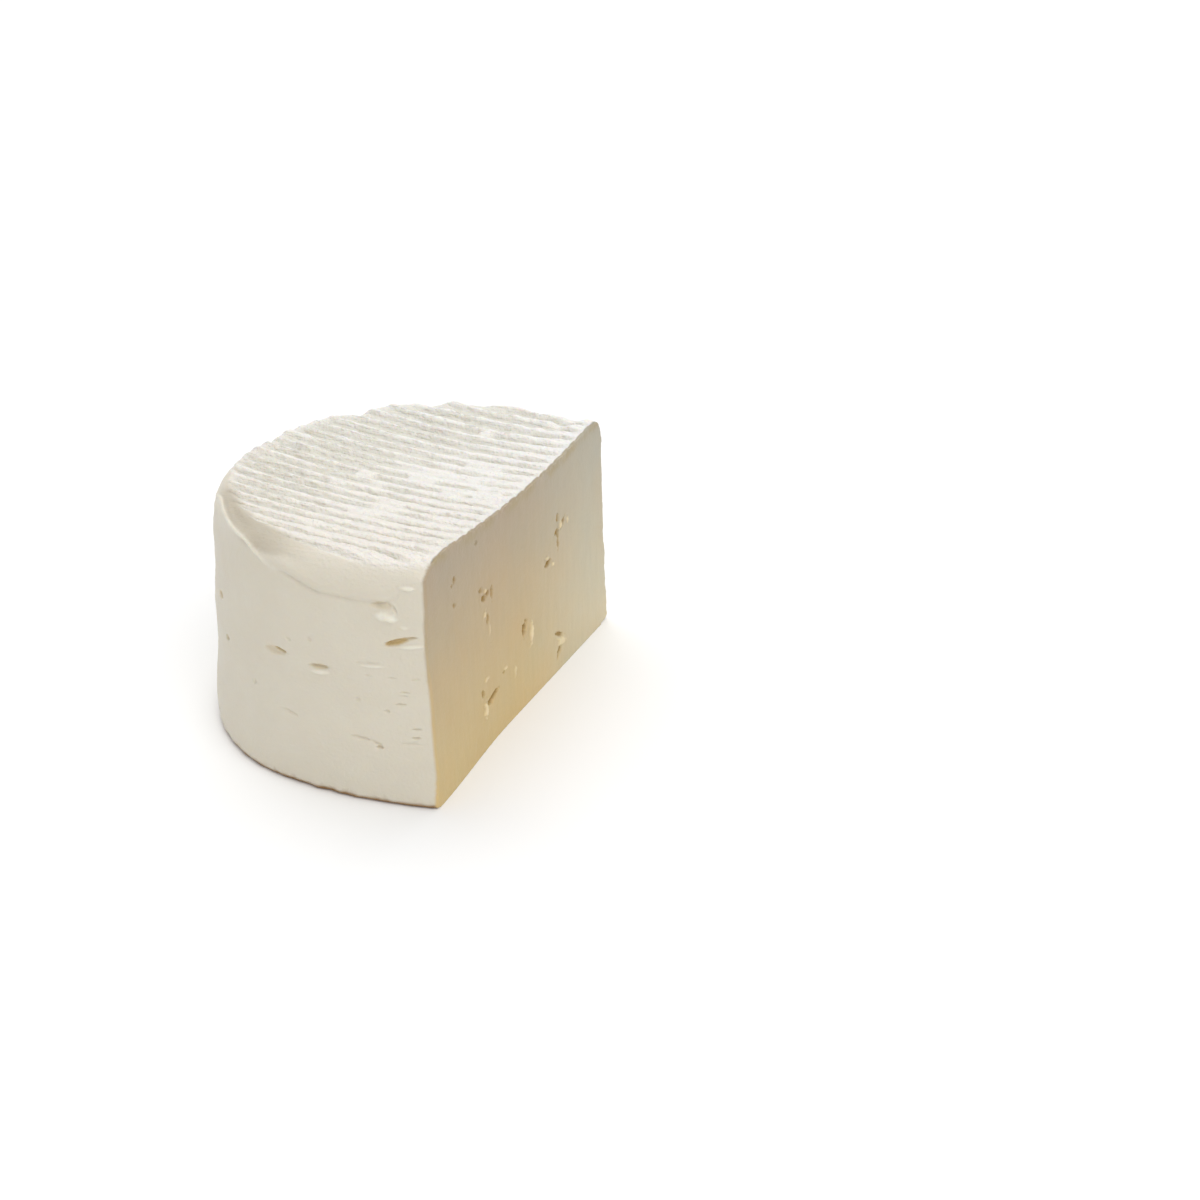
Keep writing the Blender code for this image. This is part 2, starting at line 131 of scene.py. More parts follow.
wheel = {
    "radius": 0.055,
    "height": 0.058,
    "axis": (0.0162627, -0.00029),  # where the wheel's axis stands in the frame
    "cutAt": 0.0224,  # from the axis to the knife's cut
    "taper": 0.0025,
    "taperLeft": 0.0015,
    "taperEased": 0.0016,
    "blankSides": 192,
    "blankRound": 0.0075,  # rounding of the plain drum's upper edge
    "blankSteps": 8,
    "baseRound": 0.0012,
    "baseSteps": 3,
    "touch": 0.0001,  # places nearer than this count as the same
    "footSpread": 0.0012,
    "footTuck": 0.0012,
    "footHeight": 0.009,
    # turns round the wheel, each with its spread
    "nearEnd": (294.0, 18.0),
    "nearFoot": (294.0, 9.0),
    "slumped": (236.0, 30.0),
    "left": (205.0, 45.0),
    "tucked": (264.0, 16.0),
    "lump": 0.0005,  # how lumpy the wall is
    "lumpsRound": 1.4,  # how closely the lumps follow each other, round the wall and up it
    "lumpsUp": 84.0,
    "wallFrom": (0.5, 0.95),  # share of the radius over which the wall's shape takes over
    "topReach": 0.008,  # the top's skin lies less than this below the full height
    "voxel": 0.00040,
    "mostTriangles": 190000,
    "smoothBelow": 50.0,  # edges that turn by fewer degrees are shaded smooth
}

shoulder = {
    # turn, how far it drops down the side, how far it reaches in, power of its curve
    "places": (
        (66.0, 0.0070, 0.0046, 3.0),
        (82.0, 0.0074, 0.0066, 2.0),
        (207.0, 0.0060, 0.0072, 2.0),
        (222.0, 0.0024, 0.0060, 2.0),
        (242.0, 0.0018, 0.0060, 2.0),
        (256.0, 0.0060, 0.0066, 1.9),
        (270.0, 0.0088, 0.0075, 1.8),
        (284.0, 0.0093, 0.0075, 1.7),
        (294.0, 0.0034, 0.0066, 1.4),
    ),
    "high": 0.67,  # share of its length above which the top's shape takes over
    "turns": 720,  # rows and columns of the tables that the skin is read from
    "shares": 97,
    "slopes": 181,
}

lip = {  # the line that the mould's rim left along the shoulder's foot
    "width": 0.0005,
    "crest": 0.0008,
    "crestOff": (0.0002, 0.0030),  # how far in from the shoulder's foot, near and at the left
    "crestOver": (214.0, 246.0),
    "valleyOff": 0.0021,  # from the crest
    "valleyWidth": 0.0014,
    "valley": 0.0008,
    "crease": 0.0009,
    "creaseWidth": 0.0007,
    "bulgeOff": 0.0022,
    "bulgeWidth": 0.0014,
    "bulge": 0.0004,
    "crestTurns": (200.0, 222.0, 242.0, 262.0),
    "valleyTurns": (200.0, 222.0, 228.0, 250.0),
    "creaseTurns": (248.0, 262.0, 284.0, 291.0),
}

rimDents = {
    "places": (((118.0, 4.0), 0.0009), ((140.0, 4.0), 0.0013), ((171.0, 4.0), 0.0007),
               ((78.0, 16.0), 0.0012), ((102.0, 8.0), 0.0007), ((71.0, 3.0), 0.0008)),
    "span": (0.70, 0.95),
}

ribs = {  # the draining mat's print
    "start": 0.0015,
    "slope": -0.122,
    "pitch": 0.00416,
    "spread": 0.0000023,
    "fan": 0.00043,
    "skew": 0.0021,
    "bow": 0.36,
    "bowStep": 0.083,
    "wobble": 0.0005,
    "wobblesAlong": 85.0,
    "lane": 3.7,  # how far apart two grooves' noises are
    "noiseReach": 0.06,
    "noisePlaces": 481,
    "depth": 0.0014,
    "count": 13,
    "rimShallow": 0.88,  # share of their depth that the grooves lose at the rim
    "rimFrom": (0.84, 0.92),
    "wide": 0.47,  # half a groove as a share of the pitch, where the ribs are thin crests
    "narrow": 0.27,  # the same where they are worn to flat strips
    "narrowing": (-0.5, 0.3),
    "floorWide": 0.62,  # share of a groove that is its floor
    "floorNarrow": 0.20,
    "streak": 0.00026,  # fine streaks that the mat's threads left along the ribs
    "streaksAcross": 1350.0,
    "streakStretch": 0.24,
    "streakRimLoss": 0.9,
    "streakKnifeLoss": 0.8,
    "streakKnifeReach": 0.003,
    "knifeFlattened": 0.86,  # share of their depth that the grooves lose at the cut
    "knifeReach": 0.005,
    "printedOver": (0.0520, 0.0560),  # heights over which the print fades in
    "skinDepth": (0.0030, 0.0003),  # on steep faces, how far below the top it fades out
    "faceUp": 0.4,  # what points upwards more than this isn't steep
    "dish": 0.0048,  # how much lower the top's middle is than its rim
    "dishRim": 0.00115,
    "riseX": 0.016,
    "riseY": -0.009,
    "smoothRim": 0.88,
    "smoothBite": 0.05,
    "smoothReach": 0.05,
    "smoothFade": 0.03,
    "smoothFront": (0.1, 0.4),
    "uneven": 0.22,  # how much a groove's width and depth change along it
    "unevenAlong": 130.0,
    "wornLeast": 0.20,  # share of its depth that the most worn groove keeps
    "wornZone": (0.007, -0.002, 0.028),  # place and reach of the zone of broken grooves
    "zoneLoss": 0.92,
    "breaksAlong": 105.0,
    "zoneGain": 0.35,  # how much deeper the grooves are where they are whole
    "breakSpan": (-0.26, 0.02),
    # place and size of each worn patch
    "patches": ((-0.0070, -0.0210, 0.0040), (-0.0020, 0.0080, 0.0030), (0.0085, 0.0135, 0.0030),
                (0.0065, -0.0020, 0.0034), (0.0160, -0.0060, 0.0026), (-0.0185, 0.0000, 0.0024),
                (-0.0020, 0.0320, 0.0020), (0.0120, 0.0230, 0.0022), (-0.0220, -0.0070, 0.0020)),
    "patchStretch": 1.5,
    "softFrom": 0.5,  # share of a worn place's size from which it fades out
}


def rimDent(turn):
    return sum(depth * nearTurn(turn, place) for place, depth in rimDents["places"])


def sideRadius(height, turn):
    taper = (wheel["taper"] + wheel["taperLeft"] * nearTurn(turn, wheel["left"])
             - wheel["taperEased"] * nearTurn(turn, wheel["nearEnd"]))
    foot = (wheel["footSpread"] * nearTurn(turn, wheel["nearFoot"])
            - wheel["footTuck"] * nearTurn(turn, wheel["tucked"]))
    low = 1.0 - smoothStep(0.0, wheel["footHeight"], height)
    return wheel["radius"] - taper * height / wheel["height"] + foot * low


def shoulderAt(turn, column):  # one of the shoulder's measures, eased between its places
    first = shoulder["places"][0]
    rows = shoulder["places"] + ((first[0] + 360.0,) + first[1:],)
    at = np.where(turn < first[0], turn + 360.0, turn)
    value = np.zeros_like(at)
    for before, after in zip(rows, rows[1:]):
        share = smoothStep(before[0], after[0], at)
        inside = (at >= before[0]) & (at <= after[0])
        value = np.where(inside, before[column] + (after[column] - before[column]) * share, value)
    return value


def crestOff(turn):
    near, left = lip["crestOff"]
    return left + (near - left) * smoothStep(*lip["crestOver"], turn)


def lipRelief(turn, along):
    past = along - crestOff(turn)
    raised = lip["crest"] * bump(past, lip["width"])
    sunk = lip["valley"] * bump(past - lip["valleyOff"], lip["valleyWidth"])
    creased = (lip["bulge"] * bump(along - lip["bulgeOff"], lip["bulgeWidth"])
               - lip["crease"] * bump(along, lip["creaseWidth"]))
    return (raised * overTurns(turn, lip["crestTurns"])
            - sunk * overTurns(turn, lip["valleyTurns"])
            + creased * overTurns(turn, lip["creaseTurns"]))


def shoulderTables(turns, shares):  # radius and height of the shoulder at each turn and share
    radii = np.zeros((len(turns), len(shares)))
    heights = np.zeros((len(turns), len(shares)))
    slopes = np.linspace(0.0, math.pi / 2.0, shoulder["slopes"])
    high = smoothStep(0.0, shoulder["high"], shares)
    drops, reaches, powers = [shoulderAt(turns, column) for column in (1, 2, 3)]
    for row, turn in enumerate(turns):
        foot = wheel["height"] - drops[row]
        bend = 2.0 / powers[row]
        across = sideRadius(foot, turn) - reaches[row] * (1.0 - np.abs(np.cos(slopes)) ** bend)
        up = foot + drops[row] * np.abs(np.sin(slopes)) ** bend
        lengths = np.concatenate(([0.0], np.cumsum(np.hypot(np.diff(across), np.diff(up)))))
        along = shares * lengths[-1]
        off = lipRelief(turn, along) - rimDent(turn) * high
        outward = np.interp(along, lengths, np.gradient(up, lengths))
        upward = np.interp(along, lengths, -np.gradient(across, lengths))
        radii[row] = np.interp(along, lengths, across) + off * outward
        heights[row] = np.interp(along, lengths, up) + off * upward
    return radii, heights


def readTable(table, turn, share):  # smooth reading between a table's turns and shares
    row = turn * len(table) / 360.0
    column = np.clip(share, 0.0, 1.0) * (table.shape[1] - 1)
    low = np.floor(row).astype(int)
    left = np.minimum(np.floor(column).astype(int), table.shape[1] - 2)
    partRow, partColumn = row - low, column - left
    low, high = low % len(table), (low + 1) % len(table)
    one = table[low, left] * (1.0 - partColumn) + table[low, left + 1] * partColumn
    two = table[high, left] * (1.0 - partColumn) + table[high, left + 1] * partColumn
    return one * (1.0 - partRow) + two * partRow


def grooveLine(x, number):  # where a groove of the mat lies at x, number 0 by the middle
    slope = ribs["slope"] - ribs["skew"] * number - ribs["fan"] * number * number
    bow = ribs["bow"] + ribs["bowStep"] * number
    start = ribs["start"] - ribs["pitch"] * number - ribs["spread"] * number ** 3
    return start + slope * x - bow * x * x


def alongNoise(x, number, perMetre, layer):  # noise along one groove, read from a fine table
    places = np.linspace(-ribs["noiseReach"], ribs["noiseReach"], ribs["noisePlaces"])
    values = [noise.noise((place * perMetre, number * ribs["lane"], layer)) for place in places]
    return np.interp(x, places, values)


def rimSmoothed(x, y):  # 1 on the front rim, which the mat left smooth, 0 where it printed
    turn = np.degrees(np.arctan2(y, x)) % 360.0
    edge = (ribs["smoothRim"] - ribs["smoothBite"] * nearTurn(turn, wheel["slumped"])
            + ribs["smoothReach"] * nearTurn(turn, wheel["nearEnd"]))
    share = np.hypot(x, y) / wheel["radius"]
    atRim = smoothStep(edge - ribs["smoothFade"], edge + ribs["smoothFade"], share)
    return atRim * smoothStep(*ribs["smoothFront"], -y / wheel["radius"])


def grooveKept(x, y, number):  # share of its full depth that a groove keeps at a place
    keep = np.ones_like(x)
    for patchX, patchY, size in ribs["patches"]:
        away = np.hypot((x - patchX) / ribs["patchStretch"], y - patchY)
        keep = np.minimum(keep, smoothStep(ribs["softFrom"] * size, size, away))
    zoneX, zoneY, reach = ribs["wornZone"]
    inside = 1.0 - smoothStep(ribs["softFrom"] * reach, reach, np.hypot(x - zoneX, y - zoneY))
    whole = smoothStep(*ribs["breakSpan"], alongNoise(x, number, ribs["breaksAlong"], 0.0))
    keep = keep * (1.0 - ribs["zoneLoss"] * inside * (1.0 - whole))
    keep = ribs["wornLeast"] + (1.0 - ribs["wornLeast"]) * keep
    uneven = 1.0 + ribs["uneven"] * alongNoise(x, number, ribs["unevenAlong"], 11.0)
    uneven = uneven * (1.0 + ribs["zoneGain"] * inside * whole)
    byKnife = smoothStep(wheel["cutAt"] - ribs["knifeReach"], wheel["cutAt"], x)
    uneven = uneven * (1.0 - ribs["knifeFlattened"] * byKnife)
    atRim = smoothStep(*ribs["rimFrom"], np.hypot(x, y) / wheel["radius"])
    uneven = uneven * (1.0 - ribs["rimShallow"] * atRim)
    return keep * uneven * (1.0 - rimSmoothed(x, y))


def grooveDepth(x, y):  # 0 on the ribs, 1 on the floor of a whole groove
    nearCut = smoothStep(*ribs["narrowing"], (x - y / 2.0) / wheel["radius"])
    half = ribs["wide"] + (ribs["narrow"] - ribs["wide"]) * nearCut
    floor = ribs["floorWide"] + (ribs["floorNarrow"] - ribs["floorWide"]) * nearCut
    depth = np.zeros_like(x)
    for number in range(-ribs["count"], ribs["count"] + 1):
        line = grooveLine(x, number) + ribs["wobble"] * alongNoise(
            x, number, ribs["wobblesAlong"], 5.0)
        step = grooveLine(x, number - 0.5) - grooveLine(x, number + 0.5)
        uneven = 1.0 + ribs["uneven"] * alongNoise(x, number, ribs["unevenAlong"], 17.0)
        away = np.abs(y - line) / (np.minimum(half * uneven, 0.5) * step)
        near = away < 1.0
        if not near.any():
            continue
        shape = 1.0 - smoothStep(floor[near], 1.0, away[near])
        depth[near] = np.maximum(depth[near], shape * grooveKept(x[near], y[near], number))
    return depth


def dishHeight(x, y):
    share = np.hypot(x, y) / wheel["radius"]
    turn = np.degrees(np.arctan2(y, x)) % 360.0
    height = wheel["height"] + ribs["dishRim"] - ribs["dish"] * (1.0 - share * share)
    height = height + ribs["riseX"] * x + ribs["riseY"] * y
    return height - rimDent(turn) * smoothStep(*rimDents["span"], share)


def addBlank():  # a plain drum with its shoulder and base rounded, in fine even faces
    bpy.ops.object.select_all(action="DESELECT")
    bpy.ops.mesh.primitive_cylinder_add(
        vertices=wheel["blankSides"], radius=wheel["radius"], depth=wheel["height"],
        location=(0.0, 0.0, wheel["height"] / 2.0))
    blank = bpy.context.active_object
    blank.name = "cutGoatCheese"
    bpy.ops.object.transform_apply(location=True, rotation=True, scale=True)
    top = wheel["height"] - wheel["touch"]
    editEdges(blank, lambda a, b: a.z > top and b.z > top)
    bpy.ops.mesh.bevel(offset=wheel["blankRound"], segments=wheel["blankSteps"], profile=0.5,
                       affect="EDGES")
    bpy.ops.object.mode_set(mode="OBJECT")
    editEdges(blank, lambda a, b: max(a.z, b.z) < wheel["touch"])
    bpy.ops.mesh.bevel(offset=wheel["baseRound"], segments=wheel["baseSteps"], profile=0.5,
                       affect="EDGES")
    bpy.ops.object.mode_set(mode="OBJECT")
    addModifier(blank, "REMESH", {"mode": "VOXEL", "voxel_size": wheel["voxel"]})
    return blank


shoulderTurns = np.arange(shoulder["turns"]) * 360.0 / shoulder["turns"]
shoulderR, shoulderZ = shoulderTables(shoulderTurns, np.linspace(0.0, 1.0, shoulder["shares"]))


def mouldBlank(cheese):  # moves the drum's skin to where the mould and the mat left it
    x, y, z = readPoints(cheese)
    radius = np.hypot(x, y)
    turn = np.degrees(np.arctan2(y, x)) % 360.0
    plainFoot = wheel["height"] - wheel["blankRound"]
    plainCentre = wheel["radius"] - wheel["blankRound"]
    foot = wheel["height"] - shoulderAt(turn, 1)
    lumps = wheel["lump"] * grain(
        wheel["lumpsRound"] * np.cos(np.radians(turn)),
        wheel["lumpsRound"] * np.sin(np.radians(turn)), wheel["lumpsUp"] * z, 1.0)
    # up the side
    sideZ = z * foot / plainFoot
    outer = smoothStep(*wheel["wallFrom"], radius / wheel["radius"])
    sideR = radius + (sideRadius(sideZ, turn) + lumps - wheel["radius"]) * outer
    # round the shoulder
    slope = np.arctan2(np.maximum(z - plainFoot, 0.0), np.maximum(radius - plainCentre, 1e-9))
    share = slope / (math.pi / 2.0)
    low = 1.0 - smoothStep(0.0, shoulder["high"], share)
    arcR = readTable(shoulderR, turn, share) + lumps * low
    arcZ = readTable(shoulderZ, turn, share)
    # across the top
    topR = radius * readTable(shoulderR, turn, np.ones_like(turn)) / plainCentre
    topZ = readTable(shoulderZ, turn, np.ones_like(turn))
    onArc = (z > plainFoot) & (radius > plainCentre)
    onTop = (z > plainFoot) & (radius <= plainCentre)
    newR = np.where(onArc, arcR, np.where(onTop, topR, sideR))
    newZ = np.where(onArc, arcZ, np.where(onTop, topZ, sideZ))
    ratio = newR / np.maximum(radius, 1e-9)
    x, y, z = x * ratio, y * ratio, newZ
    upper = z > wheel["height"] - wheel["topReach"]
    z[upper] = np.minimum(z[upper], dishHeight(x[upper], y[upper]))
    writePoints(cheese, x, y, z)


def sliceWheel(cheese):  # one straight cut, closed, and even faces over all again
    selectOnly(cheese)
    bpy.ops.object.mode_set(mode="EDIT")
    bpy.ops.mesh.select_all(action="SELECT")
    bpy.ops.mesh.bisect(plane_co=(wheel["cutAt"], 0.0, 0.0), plane_no=(1.0, 0.0, 0.0),
                        use_fill=True, clear_outer=True)
    bpy.ops.object.mode_set(mode="OBJECT")
    addModifier(cheese, "REMESH", {"mode": "VOXEL", "voxel_size": wheel["voxel"]})


def matStreaks(x, y):  # the fine streaks, running the way the ribs run
    across = y - ribs["slope"] * x + ribs["bow"] * x * x
    return grain(x * ribs["streakStretch"], across, 0.0 * x, ribs["streaksAcross"], 2.0)


def printRibs(cheese):  # sinks the grooves, also where the knife cuts across them
    x, y, z = readPoints(cheese)
    normalZ = readNormals(cheese)[2]
    upper = z > wheel["height"] - wheel["topReach"]
    topX, topY, height = x[upper], y[upper], z[upper]
    dish = dishHeight(topX, topY)
    deep, shallow = ribs["skinDepth"]
    skin = np.where(normalZ[upper] > ribs["faceUp"], 1.0,
                    smoothStep(dish - deep, dish - shallow, height))
    level = smoothStep(*ribs["printedOver"], height) * skin
    streaked = ribs["streak"] * matStreaks(topX, topY)
    streaked = streaked * (1.0 - ribs["streakRimLoss"] * rimSmoothed(topX, topY))
    byKnife = smoothStep(wheel["cutAt"] - ribs["streakKnifeReach"], wheel["cutAt"], topX)
    streaked = streaked * (1.0 - ribs["streakKnifeLoss"] * byKnife)
    sunk = ribs["depth"] * grooveDepth(topX, topY) - streaked
    z[upper] = height - sunk * level
    writePoints(cheese, x, y, z)


cheese = addBlank()
print("drum made", len(cheese.data.vertices))
mouldBlank(cheese)
print("wheel moulded")
sliceWheel(cheese)
print("wheel cut", len(cheese.data.vertices))
printRibs(cheese)
print("ribs printed")


sideOpenings = {  # degrees round the wheel, height, width, tall, deep, tilt up to the right
    "holes": (
        (284.6, 0.0487, 0.0054, 0.0020, 0.0006, 0.0),
        (287.5, 0.0481, 0.0026, 0.0007, 0.0003, -62.0),
        (287.5, 0.0403, 0.0060, 0.0016, 0.0012, 19.0),
        (290.2, 0.0414, 0.0044, 0.0009, 0.0007, 9.0),
        (254.6, 0.0327, 0.0078, 0.0022, 0.0006, 2.0),
        (256.0, 0.0331, 0.0048, 0.0011, 0.0010, -4.0),
        (267.9, 0.0320, 0.0060, 0.0013, 0.0008, 5.0),
        (258.5, 0.0186, 0.0052, 0.0010, 0.0003, -10.0),
        (278.1, 0.0163, 0.0054, 0.0010, 0.0004, -7.0),
        (282.0, 0.0153, 0.0034, 0.0010, 0.0004, -27.0),
        (282.5, 0.0144, 0.0018, 0.0009, 0.0007, 0.0),
        (280.6, 0.0350, 0.0078, 0.0007, 0.0002, 4.0),
        (280.7, 0.0320, 0.0020, 0.0006, 0.0002, 0.0),
        (286.1, 0.0319, 0.0023, 0.0006, 0.0002, 0.0),
        (291.1, 0.0317, 0.0022, 0.0006, 0.0002, 0.0),
        (288.6, 0.0284, 0.0023, 0.0006, 0.0003, 0.0),
        (288.3, 0.0275, 0.0021, 0.0006, 0.0002, 0.0),
        (287.6, 0.0254, 0.0027, 0.0007, 0.0004, 4.0),
        (284.6, 0.0234, 0.0013, 0.0010, 0.0004, 0.0),
        (290.4, 0.0195, 0.0023, 0.0007, 0.0004, 0.0),
        (290.2, 0.0174, 0.0021, 0.0007, 0.0004, 0.0),
        (289.2, 0.0158, 0.0048, 0.0006, 0.0002, 0.0),
        (259.0, 0.0365, 0.0016, 0.0012, 0.0003, 0.0),
        (265.4, 0.0380, 0.0014, 0.0012, 0.0003, 0.0),
        (277.6, 0.0257, 0.0016, 0.0012, 0.0003, 0.0),
        (245.6, 0.0219, 0.0016, 0.0012, 0.0003, 0.0),
        (227.1, 0.0367, 0.0036, 0.0018, 0.0009, 0.0),
        (231.6, 0.0277, 0.0030, 0.0016, 0.0007, 8.0),
        (210.0, 0.0220, 0.0062, 0.0018, 0.0010, -6.0),
        (186.0, 0.0380, 0.0066, 0.0018, 0.0012, 5.0),
        (158.0, 0.0190, 0.0056, 0.0014, 0.0010, -4.0),
        (131.0, 0.0345, 0.0062, 0.0016, 0.0011, 8.0),
        (102.0, 0.0250, 0.0050, 0.0013, 0.0009, -8.0),
        (84.0, 0.0405, 0.0058, 0.0015, 0.0010, 3.0),
    ),
    "crumbs": (
        (285.2, 0.0463, 0.0048, 0.0026, 0.0005, 4.0),
        (286.6, 0.0459, 0.0032, 0.0024, 0.0005, -14.0),
        (289.4, 0.0439, 0.0018, 0.0012, 0.0001, 0.0),
        (290.6, 0.0530, 0.0036, 0.0011, 0.0004, 2.0),
        (290.8, 0.0396, 0.0062, 0.0011, 0.0003, 6.0),
        (268.2, 0.0308, 0.0054, 0.0012, 0.0003, 5.0),
        (281.8, 0.0344, 0.0062, 0.0008, 0.0002, 4.0),
        (186.5, 0.0362, 0.0050, 0.0013, 0.0003, 4.0),
        (131.5, 0.0328, 0.0046, 0.0013, 0.0003, 6.0),
    ),
    "roughness": 0.14,
    "stainedAndShaded": (0.0014, 2.0),  # the depth at which a hole is darkened in full, partly moist tint and partly painted shade, and how shallow ones fade
}

cutOpenings = {  # along the cut, height, width, tall, deep, tilt
    "holes": (
        (0.0203, 0.0412, 0.0026, 0.0018, 0.0010, 88.0),
        (0.0231, 0.0387, 0.0038, 0.0018, 0.0012, 40.0),
        (0.0199, 0.0376, 0.0032, 0.0016, 0.0013, -15.0),
        (0.0202, 0.0349, 0.0056, 0.0013, 0.0008, 89.0),
        (0.0143, 0.0315, 0.0040, 0.0018, 0.0013, -5.0),
        (-0.0212, 0.0382, 0.0026, 0.0017, 0.0012, 0.0),
        (-0.0227, 0.0407, 0.0020, 0.0014, 0.0008, 0.0),
        (-0.0190, 0.0386, 0.0018, 0.0015, 0.0009, 0.0),
        (-0.0170, 0.0380, 0.0038, 0.0014, 0.0010, 86.0),
        (-0.0195, 0.0323, 0.0032, 0.0014, 0.0007, 86.0),
        (-0.0001, 0.0206, 0.0042, 0.0028, 0.0017, 70.0),
        (0.0200, 0.0097, 0.0056, 0.0012, 0.0008, -24.0),
        (0.0196, 0.0050, 0.0040, 0.0020, 0.0013, 40.0),
        (-0.0180, 0.0116, 0.0062, 0.0018, 0.0013, 10.0),
        (-0.0202, 0.0111, 0.0032, 0.0018, 0.0015, 0.0),
        (-0.0238, 0.0150, 0.0026, 0.0016, 0.0008, -70.0),
        (-0.0356, 0.0490, 0.0024, 0.0015, 0.0008, 90.0),
        (-0.0369, 0.0483, 0.0012, 0.0011, 0.0004, 0.0),
        (-0.0362, 0.0433, 0.0015, 0.0013, 0.0005, 0.0),
        (-0.0237, 0.0531, 0.0016, 0.0011, 0.0005, 0.0),
        (-0.0122, 0.0150, 0.0013, 0.0010, 0.0004, 0.0),
    ),
    "crumbs": (
        (0.0214, 0.0390, 0.0028, 0.0014, 0.0005, 80.0),
        (0.0258, 0.0385, 0.0022, 0.0013, 0.0003, 88.0),
        (0.0135, 0.0332, 0.0018, 0.0012, 0.0004, 0.0),
        (0.0167, 0.0303, 0.0018, 0.0012, 0.0004, 0.0),
        (-0.0212, 0.0342, 0.0026, 0.0015, 0.0003, 60.0),
        (-0.0204, 0.0397, 0.0018, 0.0011, 0.0003, 0.0),
        (0.0032, 0.0178, 0.0070, 0.0020, 0.0006, 80.0),
        (0.0207, 0.0075, 0.0058, 0.0026, 0.0005, -20.0),
        (-0.0231, 0.0103, 0.0046, 0.0020, 0.0006, 86.0),
        (-0.0218, 0.0179, 0.0026, 0.0013, 0.0003, 0.0),
        (-0.0114, 0.0156, 0.0028, 0.0013, 0.0003, 0.0),
        (-0.0190, 0.0292, 0.0036, 0.0012, 0.0002, 84.0),
        (-0.0060, 0.0120, 0.0040, 0.0014, 0.0002, 84.0),
    ),
    "roughness": 0.42,
    "stainedAndShaded": (0.0011, 1.0),
}

blobs = {  # the form that all openings and crumbs share
    "edge": (0.35, 1.15),  # shares of their half width between which they slope
    "ragged": 900.0,  # coarser and finer raggedness round them, per metre
    "raggedFine": 2100.0,
    "fineShare": 0.5,
    "seedStep": 3.7,
    "crumbSeed": 50,
    "farthest": 2.0,
    "stainAndShadeOver": (0.08, 0.75),
    "paleLeast": 0.3,  # how pale the flattest crumbs are painted, as a highlight
    "paleHeight": 0.0006,  # crumbs this high get the palest painted highlight
}

fineParts = {  # where the faces are finer, for the openings and the skin's torn edge
    "reach": 1.7,
    "edgeBelow": 0.0018,
    "edgeWidth": 0.0012,
    "cutSkin": 0.0003,
    "cornerWidth": 0.0012,  # the bands by the cut's upright edges and the foot
    "kept": 0.02,  # how little of them the thinning takes
}

wall = {  # where the wall's openings may lie
    "inner": 0.047,
    "highest": 0.0552,
}


def blobAway(across, up, row):  # 1 at a blob's rim, 0 in its middle
    width, tall, tilt = row[2], row[3], math.radians(row[5])
    along = (across * math.cos(tilt) + up * math.sin(tilt)) / (width / 2.0)
    over = (up * math.cos(tilt) - across * math.sin(tilt)) / (tall / 2.0)
    return np.hypot(along, over)


def blobShare(across, up, row, roughness, seed):  # 1 in the middle of a blob, 0 round it
    away = blobAway(across, up, row)
    share = np.zeros_like(away)
    near = away < blobs["farthest"]
    if near.any():
        flat = (across[near], up[near], 0.0 * up[near])
        rough = (grain(*flat, blobs["ragged"], seed * blobs["seedStep"])
                 + blobs["fineShare"] * grain(*flat, blobs["raggedFine"], seed))
        share[near] = 1.0 - smoothStep(*blobs["edge"], away[near] + roughness * rough)
    return share


def pressBlobs(across, up, kit):  # depth of the holes less the crumbs' height, then shares
    depth, holes, crumbs = np.zeros_like(up), np.zeros_like(up), np.zeros_like(up)
    full, fading = kit["stainedAndShaded"]
    for seed, row in enumerate(kit["holes"]):
        share = blobShare(across(row[0]), up - row[1], row, kit["roughness"], seed)
        depth = np.maximum(depth, row[4] * share)
        # holes are darkened, partly by their moist tint and partly by painted shade, more in
        # deeper ones
        stainAndShade = smoothStep(*blobs["stainAndShadeOver"], share) * min(row[4] / full, 1.0) ** fading
        holes = np.maximum(holes, stainAndShade)
    for seed, row in enumerate(kit["crumbs"]):
        share = blobShare(across(row[0]), up - row[1], row, kit["roughness"],
                          seed + blobs["crumbSeed"])
        depth = depth - row[4] * share
        # raised crumbs are painted paler the higher they stand, as a highlight
        pale = min(row[4] / blobs["paleHeight"], 1.0)
        pale = blobs["paleLeast"] + (1.0 - blobs["paleLeast"]) * pale
        crumbs = np.maximum(crumbs, share * pale)
    return depth, holes, crumbs


def roundWheel(x, y):  # gives distances round the wheel from a place in degrees
    turn = np.degrees(np.arctan2(y, x)) % 360.0
    return lambda place: np.radians((turn - place + 180.0) % 360.0 - 180.0) * np.hypot(x, y)


def sideMarks(x, y, z):
    return pressBlobs(roundWheel(x, y), z, sideOpenings)


def cutMarks(y, z):
    return pressBlobs(lambda place: y - place, z, cutOpenings)


def inFineParts(x, y, z):
    atEdge = z > dishHeight(x, y) - fineParts["edgeBelow"]
    fine = (x > wheel["cutAt"] - fineParts["edgeWidth"]) & atEdge
    onCut = x > wheel["cutAt"] - fineParts["cutSkin"]
    onSide = (np.hypot(x, y) > wall["inner"]) & (z < wall["highest"])
    for kit, across, where in ((cutOpenings, lambda place: y - place, onCut),
                               (sideOpenings, roundWheel(x, y), onSide)):
        for row in kit["holes"] + kit["crumbs"]:
            near = blobAway(across(row[0]), z - row[1], row) < fineParts["reach"]
            fine = fine | (near & where)
    return fine


def inBands(x, y, z):  # the cut's upright edges and the foot, whose lines must stay even
    turn = np.degrees(np.arctan2(y, x)) % 360.0
    atWall = np.hypot(x, y) > sideRadius(z, turn) - fineParts["cornerWidth"]
    byCut = x > wheel["cutAt"] - fineParts["cornerWidth"]
    return atWall & (byCut | (z < fineParts["cornerWidth"]))


